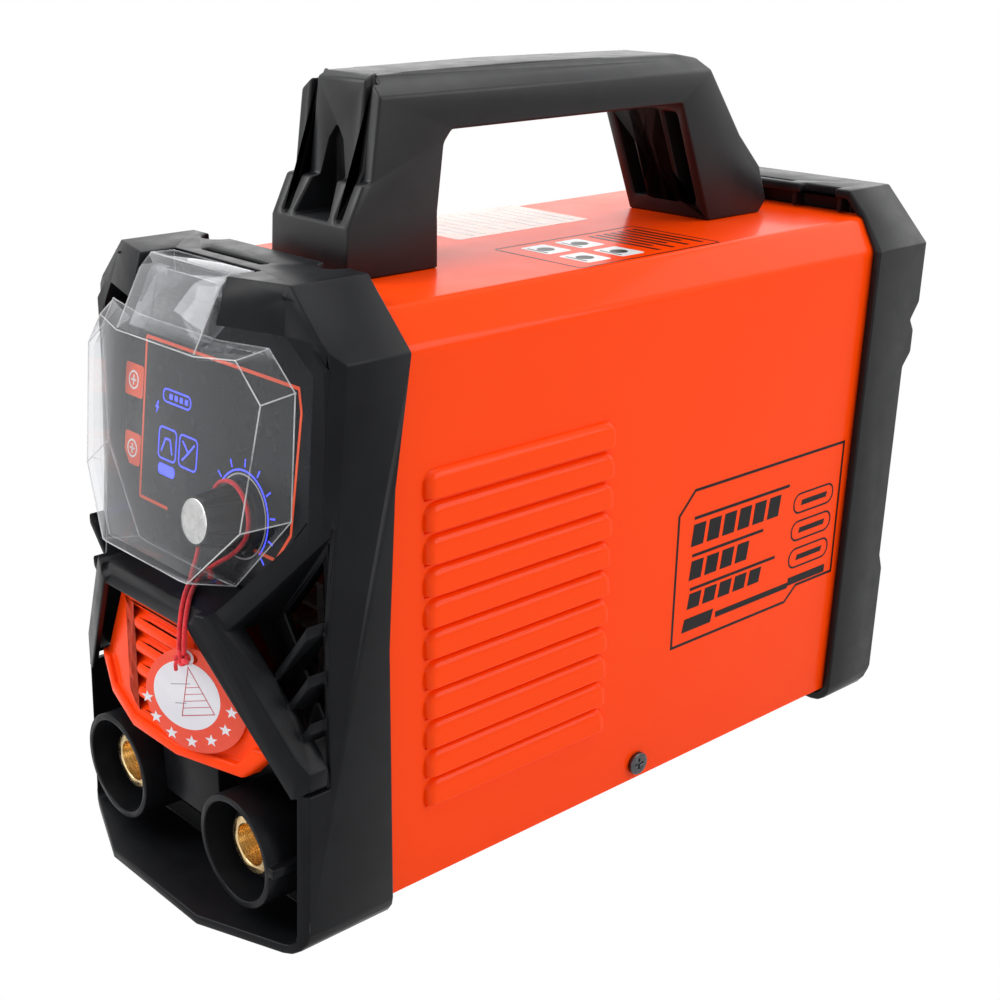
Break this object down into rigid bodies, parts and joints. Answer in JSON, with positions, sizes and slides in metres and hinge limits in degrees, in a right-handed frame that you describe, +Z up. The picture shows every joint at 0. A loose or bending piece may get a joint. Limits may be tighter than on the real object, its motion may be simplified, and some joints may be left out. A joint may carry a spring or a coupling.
{
  "type": "stick welding inverter",
  "caption": "Portable arc-welding inverter: louvred steel cover between moulded end frames, carrying handle, control panel behind a hinged clear cover, brass output sockets, rear fan.",
  "frame": {"origin": "middle of the footprint, on the floor", "axes": "+X to the right seen from the front, +Y from front to back, +Z up"},
  "size_m": [0.121, 0.2938, 0.2421],
  "materials": {
    "black_plastic": "moulded, fine texture",
    "orange_paint": "powder coat, semi-gloss",
    "zinc_steel": "zinc plated",
    "screw_steel": "black zinc",
    "clear_plastic": "clear moulded",
    "orange_plastic": "satin",
    "panel_grey": "printed film",
    "display_dark": "gloss",
    "board_green": "lacquered board",
    "knob_black": "satin",
    "cap_aluminium": "turned",
    "brass": "turned",
    "copper": "tinned copper",
    "rubber": "matt",
    "rear_sheet": "satin",
    "fan_black": "moulded",
    "guard_chrome": "plated",
    "rocker_red": "gloss",
    "sheet_paper": "pressboard",
    "nylon": "natural",
    "sink_aluminium": "extruded",
    "epoxy": "moulded",
    "ferrite": "sintered",
    "winding": "taped copper",
    "capacitor_sleeve": "sleeved",
    "tag_card": "printed card",
    "cord_red": "braided",
    "choke_yellow": "painted"
  },
  "bodies": {
    "housing": {"front_frame": "black_plastic", "rear_frame": "black_plastic", "outer_cover": "orange_paint", "base_tray": "zinc_steel", "handle": "black_plastic", "handle_screws": "zinc_steel", "cover_hinge_pins": "zinc_steel", "front_insert": "orange_plastic", "control_panel": "black_plastic", "panel_overlay": "panel_grey", "display_module": "display_dark", "control_board": "board_green", "control_board_posts": "zinc_steel", "potentiometer": "zinc_steel", "socket_housing_left": "knob_black", "socket_housing_right": "knob_black", "socket_brass_left": "brass", "socket_brass_right": "brass", "busbar_left": "copper", "busbar_right": "copper", "socket_nuts": "brass", "rubber_feet": "rubber", "cover_screws": "screw_steel", "frame_screws": "zinc_steel", "rear_panel": "rear_sheet", "fan_frame": "fan_black", "fan_guard": "guard_chrome", "fan_screws": "zinc_steel", "mains_switch_body": "knob_black", "cable_gland": "black_plastic", "gland_nut": "black_plastic", "earth_stud": "zinc_steel", "earth_nuts": "zinc_steel", "insulating_sheet": "sheet_paper", "board_standoffs": "nylon", "main_board": "board_green", "output_heatsink": "sink_aluminium", "output_diodes": "epoxy", "primary_heatsink_left": "sink_aluminium", "primary_heatsink_right": "sink_aluminium", "igbt_transistors": "epoxy", "transformer_core": "ferrite", "transformer_windings": "winding", "output_choke": "choke_yellow", "bulk_capacitors": "capacitor_sleeve", "bridge_rectifier": "epoxy", "inspection_tag": "tag_card", "tag_knot": "cord_red", "tag_cord": "cord_red"},
    "clear_cover": {"clear_cover": "clear_plastic"},
    "knob": {"knob": "knob_black", "knob_cap": "cap_aluminium", "potentiometer_shaft": "zinc_steel"},
    "rocker": {"mains_rocker": "rocker_red"},
    "fan": {"fan_rotor": "fan_black"}
  },
  "joints": [
    {"name": "clear_cover_hinge", "type": "hinge", "parent": "housing", "child": "clear_cover", "pos_m": [0, -0.11595, 0.1898], "axis": [-1, 0, 0], "range_deg": [0, 105]},
    {"name": "knob_turn", "type": "hinge", "parent": "housing", "child": "knob", "pos_m": [0.0155, -0.11628, 0.125], "axis": [0, -0.989, 0.1478], "range_deg": [-150, 150]},
    {"name": "rocker_tilt", "type": "hinge", "parent": "housing", "child": "rocker", "pos_m": [-0.024, 0.13155, 0.146], "axis": [1, 0, 0], "range_deg": [0, 24]},
    {"name": "fan_spin", "type": "hinge", "parent": "housing", "child": "fan", "pos_m": [0, 0.11855, 0.066], "axis": [0, 1, 0], "continuous": true}
  ]
}
